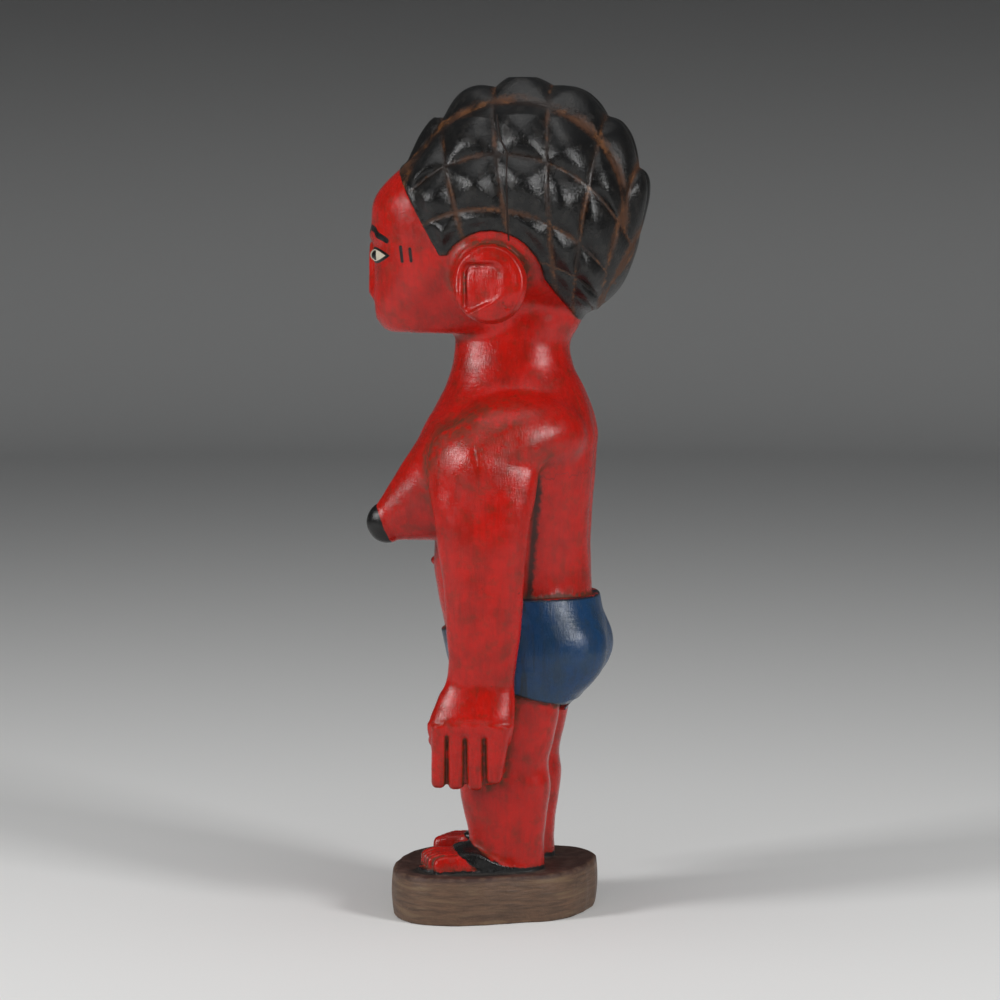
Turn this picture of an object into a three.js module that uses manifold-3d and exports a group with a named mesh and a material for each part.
// Standing spirit spouse figure: a woman in shorts and thong sandals, carved with her base from one block of wood.
// Millimetres, +Z up. She faces -Y, her left side is +X, and the origin is on the base's underside below her midline.
// The body is described as a field that is negative inside the wood. The field is turned into a surface on a grid,
// thinned to few triangles, and joined to the base, which is an extruded outline.
import * as THREE from "three";
import { mergeVertices } from "three/addons/utils/BufferGeometryUtils.js";
import Module from "manifold-3d";

const wasm = await Module();
wasm.setup();

// Driving dimensions
const BASE_HEIGHT = 20.5;
const BASE_BEVEL = 1.2;
const HEAD_CENTRE = { y: 13.8, z: 307 };
const HEAD_RADIUS = { x: 41, y: 48.4, z: 48.4 };
const NAPE = { y: 29, z: 288, rx: 28, ry: 28.6, rz: 30 };
const HAIR_STEP = 1.1;
const KNOB_HEIGHT = 3.8;
const EAR_CENTRE = { y: 1.4, z: 271.2 };
const EAR_RADIUS = { y: 15.2, z: 16 };
const EAR_CREST = 41.5;
const EAR_FLARE = 0.42;
const CHIN_UNDERSIDE = 250.5;
const NIPPLE_END = { x: 20, y: -43.8, z: 170, radius: 9 };
const FINGER_PITCH = 7.9;
const FINGER_RADIUS = 3.6;
const SHORTS_STEP = 1.2;
const FOOT_LENGTH = 51;
const FOOT_HALF_WIDTH = 9.8;
const SOLE_THICKNESS = 2.6;
const STRAP_STEP = 0.9;
// The right leg stands a little behind the left one, and each foot turns out by its own angle.
const LEG_SETBACK = { left: 0, right: 1.2 };
const FOOT_TURN = { left: 11, right: 5 };

// Grid spacing of the first surface, and the triangles that stay after thinning
const GRID_STEP = 1.5;
const BLOCK = 4;
const FIGURE_TRIANGLES = 9700;

const DEGREE = Math.PI / 180;

// Blends of fields: the nearer of two forms, rounded over a fillet of about k
function join(a, b, k) {
  const h = Math.max(k - Math.abs(a - b), 0) / k;
  return Math.min(a, b) - (h * h * k) / 4;
}

function cut(a, b, k) {
  return -join(-a, -b, k);
}

function ramp(low, high, value) {
  const t = Math.min(Math.max((value - low) / (high - low), 0), 1);
  return t * t * (3 - 2 * t);
}

function ellipsoid(x, y, z, rx, ry, rz) {
  const near = Math.hypot(x / rx, y / ry, z / rz);
  const slope = Math.hypot(x / rx ** 2, y / ry ** 2, z / rz ** 2);
  return slope < 1e-9 ? -Math.min(rx, ry, rz) : (near * (near - 1)) / slope;
}

// A tapering rod with round ends, from point a with radius ra to point b with radius rb
function taper(x, y, z, a, b, ra, rb) {
  const [dx, dy, dz] = [b[0] - a[0], b[1] - a[1], b[2] - a[2]];
  const along = ((x - a[0]) * dx + (y - a[1]) * dy + (z - a[2]) * dz) / (dx * dx + dy * dy + dz * dz);
  const t = Math.min(Math.max(along, 0), 1);
  return Math.hypot(x - a[0] - dx * t, y - a[1] - dy * t, z - a[2] - dz * t) - ra - (rb - ra) * t;
}

// A form with level sections, squarer than an ellipse when the power is over 2.
// A station holds [height, centre x, centre y, half-width, half-depth], and a smooth curve runs through them.
const TABLE_STEP = 0.5;
function column(stations, power) {
  const rows = [...stations].sort((p, q) => p[0] - q[0]);
  const low = rows[0][0];
  const high = rows[rows.length - 1][0];
  const curve = new THREE.CatmullRomCurve3([], false, "centripetal");
  const places = rows.map((r) => new THREE.Vector3(r[1], r[2], r[0]));
  const sizes = rows.map((r) => new THREE.Vector3(r[3], r[4], r[0]));
  const table = [];
  const sampled = [places, sizes].map((points) => {
    curve.points = points;
    return curve.getPoints(rows.length * 24);
  });
  const at = (points, z) => {
    let i = 1;
    while (i < points.length - 1 && points[i].z < z) i++;
    const t = (z - points[i - 1].z) / (points[i].z - points[i - 1].z);
    return [points[i - 1].x + (points[i].x - points[i - 1].x) * t, points[i - 1].y + (points[i].y - points[i - 1].y) * t];
  };
  for (let z = low; z <= high + TABLE_STEP; z += TABLE_STEP) {
    const level = Math.min(z, high);
    table.push([...at(sampled[0], level), ...at(sampled[1], level)]);
  }
  return (x, y, z) => {
    const place = Math.min(Math.max((z - low) / TABLE_STEP, 0), table.length - 1.001);
    const i = Math.floor(place);
    const t = place - i;
    const [cx, cy, a, b] = table[i].map((value, k) => value + (table[i + 1][k] - value) * t);
    const reach = Math.hypot(x - cx, y - cy);
    const share = (Math.abs((x - cx) / a) ** power + Math.abs((y - cy) / b) ** power) ** (1 / power);
    const section = share < 1e-6 ? -Math.min(a, b) : reach * (1 - 1 / share);
    return Math.max(section, low - z, z - high);
  };
}

// Torso and neck
const trunk = column(
  [
    [268, 0, 11, 18, 24],
    [256, 0, 9.6, 19.5, 27.4],
    [246, 0, 7.4, 20.5, 24.6],
    [236, 0, 7.5, 22.5, 25.8],
    [227, 0, 8.8, 26.5, 29],
    [217, 0, 9.1, 33, 33],
    [208, 0, 8.4, 36.5, 35.8],
    [198, 0, 8.4, 36.5, 35.4],
    [187, 0, 8.7, 33.5, 34.4],
    [178, 0, 8.6, 31, 33.8],
    [162, 0, 7.9, 28, 33.8],
    [148, 0, 7.8, 26, 33.8],
    [136, 0, 8.8, 26.5, 32.8],
    [124, 0, 9.6, 28, 31],
    [114, 0, 10, 29, 29],
    [97, 0, 12, 29.5, 24],
  ],
  2.3,
);

const SPINE = { depth: 1.6, width: 7 };
const BLADE = { x: 20, y: 13.5, z: 208, rx: 21.5, ry: 27.6, rz: 19 };
function torso(side, y, z) {
  const furrow = SPINE.depth * Math.exp(-((side / SPINE.width) ** 2)) * ramp(20, 36, y);
  const blade = ellipsoid(side - BLADE.x, y - BLADE.y, z - BLADE.z, BLADE.rx, BLADE.ry, BLADE.rz);
  return join(trunk(side, y, z), blade, 5) + furrow * ramp(140, 165, z) * ramp(232, 205, z);
}

// Each breast is a cone that starts at the collar. It is narrower across than it is high.
const BREAST_ROOT = { x: 16.5, y: -11, z: 188.6, radius: 29.6 };
const BREAST_NARROWING = 1.34;
function breast(side, y, z) {
  const [r, e] = [BREAST_ROOT, NIPPLE_END];
  const across = e.x + (side - e.x) * BREAST_NARROWING;
  return taper(across, y, z, [r.x, r.y, r.z], [e.x, e.y, e.z], r.radius, e.radius);
}

// Arms, hanging straight, with the shoulder's two muscles
const armRod = column(
  [
    [209, 37, 2.5, 3, 8],
    [204, 39, 2, 6.4, 15],
    [197, 41, 1.4, 8.8, 19.4],
    [184, 42.8, 0.2, 9.8, 21],
    [166, 43, -0.2, 9.6, 19.2],
    [150, 42.6, 0.2, 9, 17.3],
    [138, 42.2, 0.4, 8.6, 16.3],
    [122, 41.5, 0, 8.2, 15.2],
    [110, 40.7, -0.9, 7.6, 14.3],
    [103, 40, -2.2, 7.2, 14.8],
    [96, 39.2, -3.6, 6.6, 16.7],
    [89, 38.3, -4.9, 5.3, 17.9],
    [82, 37.4, -5.6, 3.4, 17],
    [77, 36.8, -5.6, 1.6, 15.6],
  ],
  2.2,
);

const SHOULDER_FRONT = { y: -9.6, z: 190, rx: 10.4, ry: 13, rz: 19 };
const SHOULDER_BACK = { y: 8, z: 193, rx: 11.2, ry: 15, rz: 21 };
const SHOULDER_X = 41.4;
function arm(side, y, z) {
  const [f, b] = [SHOULDER_FRONT, SHOULDER_BACK];
  const front = ellipsoid(side - SHOULDER_X, y - f.y, z - f.z, f.rx, f.ry, f.rz);
  const back = ellipsoid(side - SHOULDER_X, y - b.y, z - b.z, b.rx, b.ry, b.rz);
  return join(armRod(side, y, z), join(front, back, 3), 6);
}

// Four straight fingers with cleft gaps, and the thumb in front of them
const KNUCKLE_Z = 89;
const FINGERTIP_Z = 64.4;
const INDEX_Y = -20;
function hand(side, y, z) {
  let fingers = Infinity;
  for (let i = 0; i < 4; i++) {
    const knuckle = [38, INDEX_Y + i * FINGER_PITCH * 1.04, KNUCKLE_Z];
    const tip = [35.8, INDEX_Y + i * FINGER_PITCH, FINGERTIP_Z + (i === 3 ? 0.8 : 0)];
    const width = FINGER_RADIUS + (i === 3 ? 1.2 : 0.5);
    fingers = join(fingers, taper(side, y, z, knuckle, tip, width, FINGER_RADIUS), 0.6);
  }
  const thumb = taper(side, y, z, [36, -15, 97], [33.4, -21.4, 79.4], 4, 3.1);
  return join(fingers, thumb, 1);
}

// The wood left between each hand and the thigh
function palmBridge(side, y, z) {
  return ellipsoid(side - 32.5, y - 1, z - 84, 5, 7, 12);
}

// Legs
const legRod = column(
  [
    [104, 15, 9, 15, 20],
    [88, 15.8, 8.2, 14.6, 21],
    [78, 16.2, 7, 13.9, 20.2],
    [67, 16.3, 5.8, 13, 19],
    [57, 16.3, 6.2, 13.3, 19.6],
    [46, 16, 6.4, 12.6, 18],
    [36, 15.6, 6.8, 11.4, 16.2],
    [28, 15.2, 6.9, 10.8, 15.7],
    [19, 15.2, 6.9, 11, 15.8],
  ],
  2.3,
);

// The foot in its own frame: across is outwards from its middle line, ahead is towards the toes
const HEEL = { x: 15, y: 21 };
function footFrame(side, y, turn) {
  const [dx, dy] = [side - HEEL.x, HEEL.y - y];
  const [c, s] = [Math.cos(turn), Math.sin(turn)];
  return [dx * c - dy * s, dx * s + dy * c];
}

const TOE_GAPS = [-3.6, 0.2, 3.4, 6.4];
function foot(across, ahead, z) {
  const middle = FOOT_LENGTH / 2;
  const narrow = 1 - 0.17 * ramp(30, 0, ahead);
  const slant = 0.22 * Math.max(across, 0);
  const reach = Math.hypot(across, ahead - middle);
  const share = (Math.abs(across / (FOOT_HALF_WIDTH * narrow)) ** 2.8 + Math.abs((ahead - middle) / (middle - slant)) ** 2.8) ** (1 / 2.8);
  const plan = share < 1e-6 ? -FOOT_HALF_WIDTH : reach * (1 - 1 / share);
  const above = BASE_HEIGHT + SOLE_THICKNESS;
  const top = above + 6.2 + 6.5 * ramp(42, 26, ahead);
  let body = cut(plan, z - top, 4);
  for (const gap of TOE_GAPS) {
    const cleft = Math.hypot(across - gap, 0.45 * (z - above - 7.2)) - 0.9;
    body = cut(body, -Math.max(cleft, 43 - ahead), 0.7);
  }
  const sole = cut(plan - 1.1, z - above, 0.8);
  return Math.min(body, sole);
}

// The thong: two straps that part from the cleft beside the big toe and run down to the sole
function strap(across, ahead) {
  const arm = (end) => {
    const [ax, ay] = [-3, 43];
    const [dx, dy] = [end[0] - ax, end[1] - ay];
    const t = Math.min(Math.max(((across - ax) * dx + (ahead - ay) * dy) / (dx * dx + dy * dy), 0), 1);
    return Math.hypot(across - ax - dx * t, ahead - ay - dy * t) - 2.6 - 1.8 * t;
  };
  return Math.min(arm([11.5, 22]), arm([-11.5, 22]));
}

function legAndFoot(side, y, z, which) {
  const setback = LEG_SETBACK[which];
  const leg = legRod(side, y - setback, z);
  if (z > 60) return leg;
  const [across, ahead] = footFrame(side, y - setback, FOOT_TURN[which] * DEGREE);
  const raised = STRAP_STEP * ramp(0.4, -0.4, strap(across, ahead)) * ramp(38, 34, z);
  return join(leg, foot(across, ahead, z), 5) - raised;
}

// Shorts: the hips, the seat and the tops of the legs, grown by the step and cut at the waist and the hem
const hips = column(
  [
    [146, 0, 9, 27, 33],
    [134, 0, 11.5, 30, 33],
    [120, 0, 13.5, 31.5, 33.5],
    [108, 0, 13.5, 31.5, 31],
    [98, 0, 12.5, 30.5, 26],
    [89, 0, 11, 26, 19],
  ],
  2.4,
);

const SEAT = { x: 14.8, y: 25.4, z: 115, rx: 16.5, ry: 23, rz: 19 };
function shorts(body, side, y, z, leg) {
  const seat = ellipsoid(side - SEAT.x, y - SEAT.y, z - SEAT.z, SEAT.rx, SEAT.ry, SEAT.rz);
  const grown = join(join(body, hips(side, y, z), 4), join(seat, leg, 4), 5) - SHORTS_STEP;
  const waist = 122.5 + 16 * ramp(-26, 6, y);
  const hem = 98.5 - 0.3 * Math.max(y - 12, 0);
  const crotch = hem - 6 * ramp(10, 3, side);
  return cut(cut(grown, z - waist, 0.5), crotch - z, 0.5);
}

// Face: a flat-fronted block whose chin is cut level
const faceBlock = column(
  [
    [248, 0, -15.5, 19, 28.5],
    [254, 0, -16.5, 23.5, 33],
    [263, 0, -16.5, 28, 35.2],
    [275, 0, -14.5, 32, 37],
    [287, 0, -12, 34.5, 39.8],
    [298, 0, -8.5, 36.5, 44],
    [308, 0, -4, 37.5, 47],
    [317, 0, 1, 37, 44.5],
    [326, 0, 6, 34, 38],
    [336, 0, 10, 28, 30],
  ],
  2.4,
);

function face(side, y, z) {
  const nose = taper(side, y, z, [0, -51.6, 287], [0, -52.4, 267.5], 2.2, 3.9);
  const wing = ellipsoid(side - 3.6, y + 51.4, z - 266.5, 2.6, 3.4, 2.9);
  const lipUpper = taper(side, y, z, [0, -51.6, 260.2], [6.2, -49.8, 259], 2, 1.2);
  const lipLower = taper(side, y, z, [0, -51.2, 256.9], [4.8, -49.6, 257.4], 2.1, 1.3);
  const brow = taper(side, y, z, [6.5, -51, 291.5], [20, -46.5, 291], 2.4, 2.2);
  const socket = ellipsoid(side - 13.5, y + 54.5, z - 284.5, 8, 5.2, 5);
  const lid = ellipsoid(side - 13.2, y + 46.4, z - 284.2, 7.4, 5.4, 4);
  let head = cut(faceBlock(side, y, z), CHIN_UNDERSIDE - z, 4);
  head = cut(join(head, brow, 4), -socket, 3);
  head = join(head, lid, 0.8);
  head = join(head, join(nose, wing, 1.5), 2);
  return join(join(head, lipUpper, 0.9), lipLower, 0.9);
}

// Ear: a bevelled rim around a hollow with a round boss
const HOLLOW = { y: -2.4, z: 1.6, ry: 9, rz: 8.4 };
function ear(side, y, z) {
  const [dy, dz] = [y - EAR_CENTRE.y, z - EAR_CENTRE.z];
  const out = Math.hypot(dy / EAR_RADIUS.y, dz / EAR_RADIUS.z);
  const inside = Math.hypot((dy - HOLLOW.y) / HOLLOW.ry, (dz - HOLLOW.z) / HOLLOW.rz);
  const crest = EAR_CREST + 0.06 * dy - 3.6 * ramp(0.78, 1.02, out);
  const slope = 3.2 * ramp(0.86, 0.5, out);
  const hollow = 4.2 * ramp(1.05, 0.9, inside) - 3.6 * ramp(0.84, 0.66, inside);
  const disc = (out - 1) * EAR_RADIUS.y + EAR_FLARE * Math.max(crest - 3 - side, 0);
  return cut(cut(disc, side - (crest - slope - hollow), 1), 24 - side, 1);
}

// Where hair grows, positive inside the hairline: behind a slanting line over the temple, above a line that
// falls to the nape, and clear of the ear
const HAIRLINE = { topY: -39.6, topZ: 320.8, slant: 0.54, sideburnZ: 283.8, napeY: 36.5, napeZ: 256.3, earGap: 22 };
function hairAt(y, z) {
  const h = HAIRLINE;
  const front = (y - h.topY - h.slant * (h.topZ - z)) / Math.hypot(1, h.slant);
  const low = ((y - h.napeY) * 1.44 + (z - h.napeZ)) / Math.hypot(1, 1.44);
  const ears = Math.hypot(y - EAR_CENTRE.y, z - EAR_CENTRE.z) - h.earGap;
  return { inside: Math.min(front, Math.max(low, z - h.sideburnZ), ears), low };
}

// Partings from side to side, each a straight cut seen from the side: its angle on the crown, and how far its lower
// end leans to the front
const PARTING_RADIUS = 51;
const PARTINGS = [
  [-78, -13], [-48, -9.7], [-17, -6], [13, 1.5], [43, 9.4], [65, 17], [84, 30], [103, 45], [122, 58], [142, 66],
].map(([crown, lean]) => {
  return {
    y: HEAD_CENTRE.y + PARTING_RADIUS * Math.sin(crown * DEGREE),
    z: HEAD_CENTRE.z + PARTING_RADIUS * Math.cos(crown * DEGREE),
    cos: Math.cos(lean * DEGREE),
    sin: Math.sin(lean * DEGREE),
  };
});
// Rows from front to back fan out round an arc that runs from the temple over the ear, and on straight to the nape
const ROW_AXIS = { y: -5.2, z: 244.7, radius: 60.6, straightFrom: 38 };
const ROW_ANGLE = 31.2 * DEGREE;

function peak(share) {
  return 1 - Math.abs(2 * share - 1);
}

function knob(side, y, z) {
  const distance = (p) => (y - p.y) * p.cos - (z - p.z) * p.sin;
  let across = 0;
  for (let i = 0; i + 1 < PARTINGS.length; i++) {
    const [before, after] = [distance(PARTINGS[i]), distance(PARTINGS[i + 1])];
    if (before >= 0 && after < 0) across = peak(before / (before - after)) * ramp(3, 13, before - after);
  }
  const onArc = Math.min(y, ROW_AXIS.straightFrom) - ROW_AXIS.y;
  const arc = Math.sqrt(ROW_AXIS.radius ** 2 - onArc ** 2);
  const up = z - ROW_AXIS.z - arc + (Math.max(y - ROW_AXIS.straightFrom, 0) * onArc) / arc;
  const row = Math.atan2(side, up) / ROW_ANGLE;
  const along = peak(row - Math.floor(row));
  const rise = Math.max(cut(-across, -along, 0.3) * -1, 0);
  // Knobs get lower where the rows run together.
  return rise * (2 - rise) * ramp(5, 27, Math.hypot(side, up));
}

function head(side, y, z) {
  const skull = ellipsoid(side, y - HEAD_CENTRE.y, z - HEAD_CENTRE.z, HEAD_RADIUS.x, HEAD_RADIUS.y, HEAD_RADIUS.z);
  const nape = ellipsoid(side, y - NAPE.y, z - NAPE.z, NAPE.rx, NAPE.ry, NAPE.rz);
  let form = join(join(skull, face(side, y, z), 7), nape, 8);
  if (form < KNOB_HEIGHT * 2.5) {
    const { inside, low } = hairAt(y, z);
    const fade = ramp(1.5, 7, inside) * Math.max(ramp(2, 12, low), ramp(12, -4, y));
    form -= HAIR_STEP * ramp(-0.3, 0.5, inside) + KNOB_HEIGHT * fade * knob(side, y, z);
  }
  return form;
}

function figureField(x, y, z) {
  const side = Math.abs(x);
  const which = x > 0 ? "left" : "right";
  if (z > 238) {
    const neck = torso(side, y, z);
    return join(join(head(side, y, z), ear(side, y, z), 1), neck, 4);
  }
  let body = join(torso(side, y, z), breast(side, y, z), 5);
  const limb = arm(side, y, z);
  const leg = z < 150 ? legAndFoot(side, y, z, which) : Infinity;
  const clothed = z < 150 ? shorts(body, side, y, z, leg) : Infinity;
  body = z < 150 ? Math.min(join(body, leg, 4), clothed) : body;
  body = join(body, limb, 1.5 + 11 * ramp(184, 204, z));
  if (z < 112) body = join(join(body, hand(side, y, z), 1.2), palmBridge(side, y, z), 2);
  return body;
}

// Turns a field into a closed surface: one corner in each grid cell that the surface crosses, and one
// four-sided face for each grid edge that it crosses.
function surface(field, low, high, step) {
  const count = low.map((value, k) => Math.ceil((high[k] - value) / step) + 1);
  const at = (i, j, k) => (k * count[1] + j) * count[0] + i;
  const values = new Float64Array(count[0] * count[1] * count[2]);
  // A block of cells whose middle lies far from the surface gets one value for all its points.
  const far = BLOCK * step * 1.8;
  for (let k = 0; k < count[2]; k += BLOCK)
    for (let j = 0; j < count[1]; j += BLOCK)
      for (let i = 0; i < count[0]; i += BLOCK) {
        const half = (BLOCK - 1) / 2;
        const middle = field(low[0] + (i + half) * step, low[1] + (j + half) * step, low[2] + (k + half) * step);
        for (let c = k; c < Math.min(k + BLOCK, count[2]); c++)
          for (let b = j; b < Math.min(j + BLOCK, count[1]); b++)
            for (let a = i; a < Math.min(i + BLOCK, count[0]); a++) {
              const near = Math.abs(middle) < far;
              values[at(a, b, c)] = near ? field(low[0] + a * step, low[1] + b * step, low[2] + c * step) : middle;
            }
      }

  const corners = [];
  const cornerOf = new Int32Array(values.length).fill(-1);
  for (let k = 0; k + 1 < count[2]; k++)
    for (let j = 0; j + 1 < count[1]; j++)
      for (let i = 0; i + 1 < count[0]; i++) {
        const sum = [0, 0, 0];
        let crossings = 0;
        for (let axis = 0; axis < 3; axis++)
          for (let edge = 0; edge < 4; edge++) {
            const from = [0, 0, 0];
            from[(axis + 1) % 3] = edge & 1;
            from[(axis + 2) % 3] = edge >> 1;
            const to = [...from];
            to[axis] = 1;
            const a = values[at(i + from[0], j + from[1], k + from[2])];
            const b = values[at(i + to[0], j + to[1], k + to[2])];
            if (a < 0 === b < 0) continue;
            from[axis] = a / (a - b);
            for (let n = 0; n < 3; n++) sum[n] += from[n];
            crossings++;
          }
        if (!crossings) continue;
        cornerOf[at(i, j, k)] = corners.length;
        corners.push([i, j, k].map((cell, n) => low[n] + step * (cell + sum[n] / crossings)));
      }

  const faces = [];
  const stride = [1, count[0], count[0] * count[1]];
  for (let k = 1; k + 1 < count[2]; k++)
    for (let j = 1; j + 1 < count[1]; j++)
      for (let i = 1; i + 1 < count[0]; i++)
        for (let axis = 0; axis < 3; axis++) {
          const here = at(i, j, k);
          const [u, v] = [stride[(axis + 1) % 3], stride[(axis + 2) % 3]];
          const inside = values[here] < 0;
          if (inside === values[here + stride[axis]] < 0) continue;
          const ring = [here - u - v, here - v, here, here - u].map((cell) => cornerOf[cell]);
          if (!inside) ring.reverse();
          faces.push([ring[0], ring[1], ring[2]], [ring[0], ring[2], ring[3]]);
        }
  return { corners, faces };
}

// Moves each corner onto the field's zero, along its slope
function settle(field, corners, step) {
  const h = 0.05;
  for (const p of corners)
    for (let round = 0; round < 2; round++) {
      const value = field(...p);
      const slope = [0, 1, 2].map((n) => {
        const after = [...p];
        after[n] += h;
        return (field(...after) - value) / h;
      });
      const steep = Math.max(slope[0] ** 2 + slope[1] ** 2 + slope[2] ** 2, 0.2);
      const move = Math.min(Math.max(value / steep, -step * 0.3), step * 0.3);
      for (let n = 0; n < 3; n++) p[n] -= move * slope[n];
    }
}

// Thins a closed surface by merging the two ends of the edge whose loss changes the form least, again and again.
// The change is the sum of squared distances to the planes of the faces around both ends. Fixed corners stay.
function thin({ corners, faces }, target, weightAt, isFixed) {
  const planes = corners.map(() => new Float64Array(10));
  const around = corners.map(() => new Set());
  const alive = faces.map(() => true);
  const [p, q, normal] = [new THREE.Vector3(), new THREE.Vector3(), new THREE.Vector3()];
  const normalOf = (a, b, c) => {
    p.subVectors(new THREE.Vector3(...b), new THREE.Vector3(...a));
    q.subVectors(new THREE.Vector3(...c), new THREE.Vector3(...a));
    return normal.crossVectors(p, q);
  };
  faces.forEach((face, f) => {
    const [a, b, c] = face.map((n) => corners[n]);
    const n = normalOf(a, b, c).clone();
    const area = n.length() / 2;
    n.normalize();
    const plane = [n.x, n.y, n.z, -(n.x * a[0] + n.y * a[1] + n.z * a[2])];
    for (const corner of face) {
      around[corner].add(f);
      let m = 0;
      for (let i = 0; i < 4; i++)
        for (let j = i; j < 4; j++) planes[corner][m++] += plane[i] * plane[j] * area * weightAt(a);
    }
  });
  const change = (m, [x, y, z]) =>
    m[0] * x * x + m[4] * y * y + m[7] * z * z + m[9] +
    2 * (m[1] * x * y + m[2] * x * z + m[5] * y * z + m[3] * x + m[6] * y + m[8] * z);
  const best = (u, v) => {
    const sum = planes[u].map((value, i) => value + planes[v][i]);
    const middle = corners[u].map((value, i) => (value + corners[v][i]) / 2);
    const choices = [corners[u], corners[v], middle];
    const matrix = new THREE.Matrix3(sum[0], sum[1], sum[2], sum[1], sum[4], sum[5], sum[2], sum[5], sum[7]);
    const scale = Math.cbrt(sum[0] + sum[4] + sum[7]) ** 3;
    if (Math.abs(matrix.determinant()) > 1e-3 * scale ** 3) {
      const point = new THREE.Vector3(-sum[3], -sum[6], -sum[8]).applyMatrix3(matrix.invert());
      choices.push(point.toArray());
    }
    let found = null;
    for (const point of choices) {
      const cost = change(sum, point);
      if (!found || cost < found.cost) found = { cost, point };
    }
    return found;
  };
  const neighbours = (u) => {
    const found = new Set();
    for (const f of around[u]) for (const n of faces[f]) if (n !== u) found.add(n);
    return found;
  };

  const stamp = new Int32Array(corners.length);
  const heap = [];
  const swap = (i, j) => ([heap[i], heap[j]] = [heap[j], heap[i]]);
  const push = (item) => {
    let i = heap.push(item) - 1;
    while (i && heap[(i - 1) >> 1].cost > heap[i].cost) {
      swap(i, (i - 1) >> 1);
      i = (i - 1) >> 1;
    }
  };
  const pop = () => {
    const top = heap[0];
    const last = heap.pop();
    if (heap.length) heap[0] = last;
    for (let i = 0; ; ) {
      let least = i;
      for (const child of [2 * i + 1, 2 * i + 2])
        if (child < heap.length && heap[child].cost < heap[least].cost) least = child;
      if (least === i) return top;
      swap(i, least);
      i = least;
    }
  };
  const offer = (u, v) => {
    if (isFixed(corners[u]) || isFixed(corners[v])) return;
    push({ ...best(u, v), u, v, stamps: [stamp[u], stamp[v]] });
  };
  corners.forEach((_, u) => {
    for (const v of neighbours(u)) if (u < v) offer(u, v);
  });

  // True if moving one end to the new point turns no face over and leaves no sliver
  const keepsFaces = (moved, other, point) => {
    for (const f of around[moved]) {
      if (faces[f].includes(other)) continue;
      const before = faces[f].map((n) => corners[n]);
      const after = faces[f].map((n) => (n === moved ? point : corners[n]));
      const old = normalOf(...before).clone();
      const now = normalOf(...after);
      if (now.length() < 1e-4 || old.dot(now) < 0.25 * old.length() * now.length()) return false;
    }
    return true;
  };
  let left = faces.length;
  while (left > target && heap.length) {
    const { u, v, point, stamps } = pop();
    if (stamp[u] !== stamps[0] || stamp[v] !== stamps[1]) continue;
    const near = neighbours(u);
    const shared = [...neighbours(v)].filter((n) => near.has(n));
    if (shared.length !== 2 || !keepsFaces(u, v, point) || !keepsFaces(v, u, point)) continue;
    for (const f of [...around[v]]) {
      if (faces[f].includes(u)) {
        for (const n of faces[f]) around[n].delete(f);
        alive[f] = false;
        left--;
      } else {
        faces[f][faces[f].indexOf(v)] = u;
        around[u].add(f);
      }
    }
    around[v].clear();
    stamp[v] = -1;
    corners[u] = point;
    planes[u] = planes[u].map((value, i) => value + planes[v][i]);
    stamp[u]++;
    for (const n of neighbours(u)) offer(u, n);
  }
  return { corners, faces: faces.filter((_, f) => alive[f]) };
}

function solidFromFaces({ corners, faces }) {
  const mesh = new wasm.Mesh({
    numProp: 3,
    vertProperties: new Float32Array(corners.flat()),
    triVerts: new Uint32Array(faces.flat()),
  });
  return new wasm.Manifold(mesh);
}

function facesFromSolid(solid) {
  const { vertProperties, triVerts } = solid.getMesh();
  const corners = [];
  const faces = [];
  for (let i = 0; i < vertProperties.length; i += 3) corners.push([...vertProperties.slice(i, i + 3)]);
  for (let i = 0; i < triVerts.length; i += 3) faces.push([...triVerts.slice(i, i + 3)]);
  return { corners, faces };
}

function solidFromGeometry(geometry) {
  const bare = geometry.index ? geometry.toNonIndexed() : geometry.clone();
  bare.deleteAttribute("normal");
  bare.deleteAttribute("uv");
  const merged = mergeVertices(bare, 1e-4);
  const mesh = new wasm.Mesh({
    numProp: 3,
    vertProperties: merged.attributes.position.array,
    triVerts: new Uint32Array(merged.index.array),
  });
  return new wasm.Manifold(mesh);
}

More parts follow.
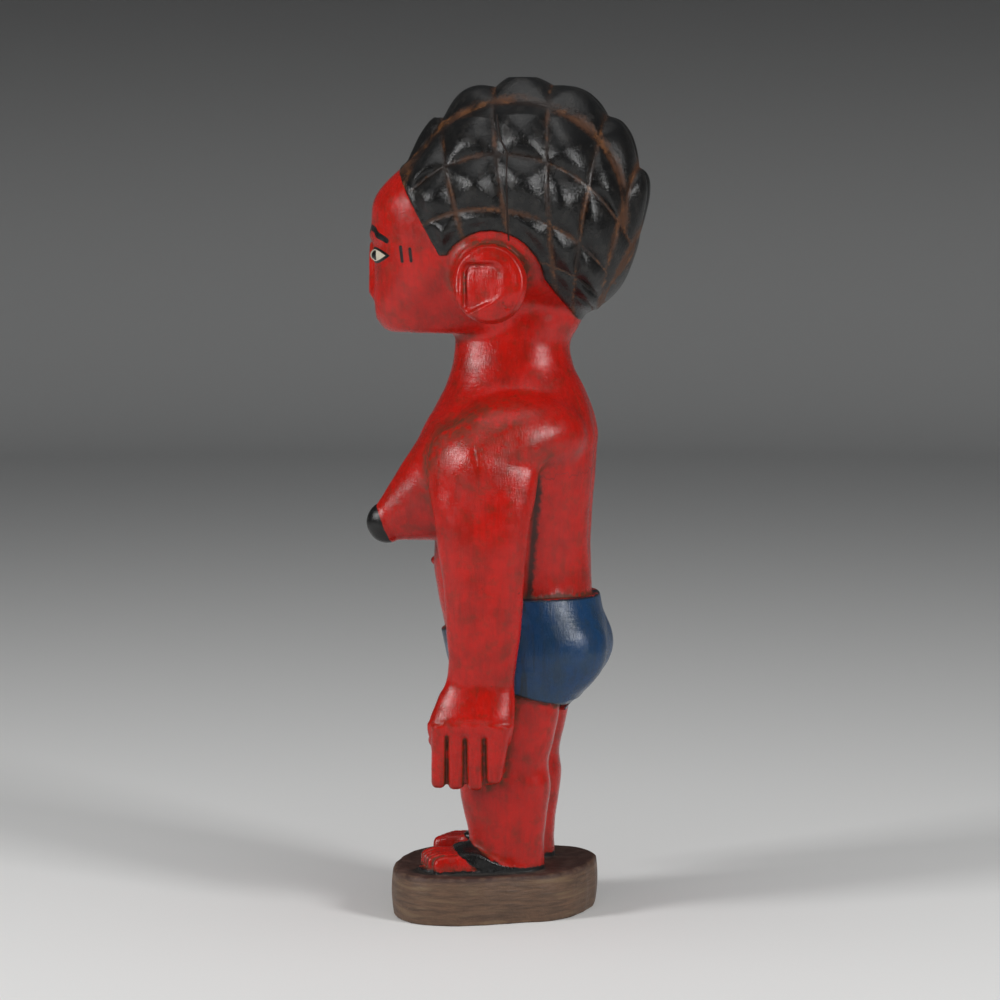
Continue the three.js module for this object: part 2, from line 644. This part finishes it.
// The base's outline, an uneven eight-sided shape cut with an adze, seen from above
const BASE_OUTLINE = [
  [0, -43.6], [20, -42.8], [33, -37.4], [40.5, -28.5], [42.6, -15], [39, 0], [31.5, 17], [26, 29], [16.5, 36.5],
  [4, 41], [-12, 43.6], [-26, 41.2], [-36, 34], [-40, 22], [-40.8, 2], [-38.5, -18], [-32, -31.5], [-18.5, -40],
];
function baseSolid() {
  const curve = new THREE.CatmullRomCurve3(BASE_OUTLINE.map(([x, y]) => new THREE.Vector3(x, y, 0)), true);
  const shape = new THREE.Shape(curve.getPoints(48).slice(0, -1).map((point) => new THREE.Vector2(point.x, point.y)));
  const block = new THREE.ExtrudeGeometry(shape, {
    depth: BASE_HEIGHT - BASE_BEVEL * 2,
    bevelThickness: BASE_BEVEL,
    bevelSize: BASE_BEVEL,
    bevelOffset: -BASE_BEVEL,
    bevelSegments: 1,
  });
  block.translate(0, 0, BASE_BEVEL);
  return solidFromGeometry(block);
}

// Finer triangles where the carving is finest: the face and the hands
function carvingWeight([x, y, z]) {
  const inFace = y < -38 && z > 250 && z < 300;
  const inHand = Math.abs(x) > 30 && z > 58 && z < 100;
  return inFace || inHand ? 6 : 1;
}

function figureSolid() {
  const low = [-56, -58, BASE_HEIGHT - 3];
  const high = [56, 68, 362];
  // The field stops just inside the base, so that the two solids join there.
  const field = (x, y, z) => Math.max(figureField(x, y, z), BASE_HEIGHT - 1.5 - z);
  const full = surface(field, low, high, GRID_STEP);
  settle(field, full.corners, GRID_STEP);
  return solidFromFaces(full);
}

function meshFromFaces({ corners, faces }, name, material) {
  const used = new Map();
  const places = [];
  const index = [];
  for (const corner of faces.flat()) {
    if (!used.has(corner)) {
      used.set(corner, used.size);
      places.push(...corners[corner]);
    }
    index.push(used.get(corner));
  }
  const geometry = new THREE.BufferGeometry();
  geometry.setAttribute("position", new THREE.Float32BufferAttribute(places, 3));
  geometry.setIndex(index);
  geometry.computeVertexNormals();
  const mesh = new THREE.Mesh(geometry, material);
  mesh.name = name;
  return mesh;
}

const paintedWood = new THREE.MeshStandardMaterial({ color: 0xb0241f, roughness: 0.38, metalness: 0 });

const whole = facesFromSolid(figureSolid().add(baseSolid()));
const belowTop = ([, , z]) => z < BASE_HEIGHT - 0.01;
const figure = new THREE.Group();
figure.add(meshFromFaces(thin(whole, FIGURE_TRIANGLES, carvingWeight, belowTop), "figure", paintedWood));

export default figure;
